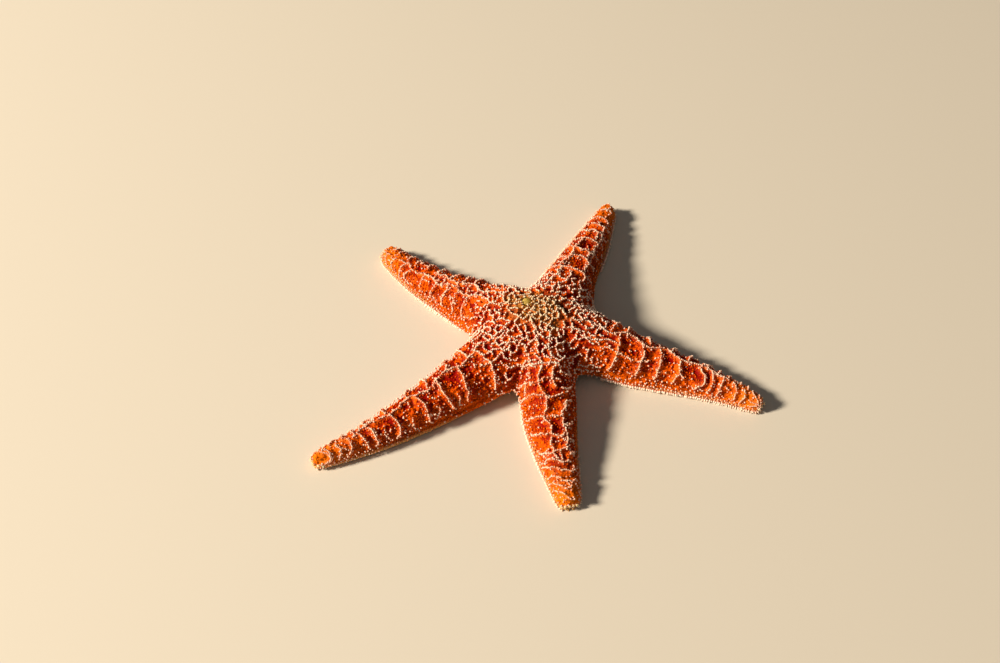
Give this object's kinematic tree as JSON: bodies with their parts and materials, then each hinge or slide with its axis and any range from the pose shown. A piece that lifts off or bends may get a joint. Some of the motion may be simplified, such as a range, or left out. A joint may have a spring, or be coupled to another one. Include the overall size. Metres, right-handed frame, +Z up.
{
  "type": "ochre sea star",
  "caption": "Life-size five-armed ochre sea star at rest, with a domed disc, tapering arms draped to the floor and a net of pale blunt spines.",
  "frame": {"origin": "under the middle of the star's outline, at floor level", "axes": "+X to the viewer's right, +Y away from the viewer, +Z up out of the disc's crown"},
  "size_m": [0.1732, 0.1502, 0.0241],
  "materials": {
    "skin": "damp orange-red living skin over a raised net of plates",
    "spines": "chalky cream calcite beads",
    "sieve_plate": "dull yellow porous calcite",
    "soft_underside": "moist translucent cream flesh"
  },
  "bodies": {
    "root": {"disc": "skin", "arm_far_right": "skin", "arm_far_left": "skin", "arm_near_left": "skin", "arm_near": "skin", "arm_right": "skin", "madreporite": "sieve_plate", "mouth": "soft_underside"}
  },
  "joints": []
}
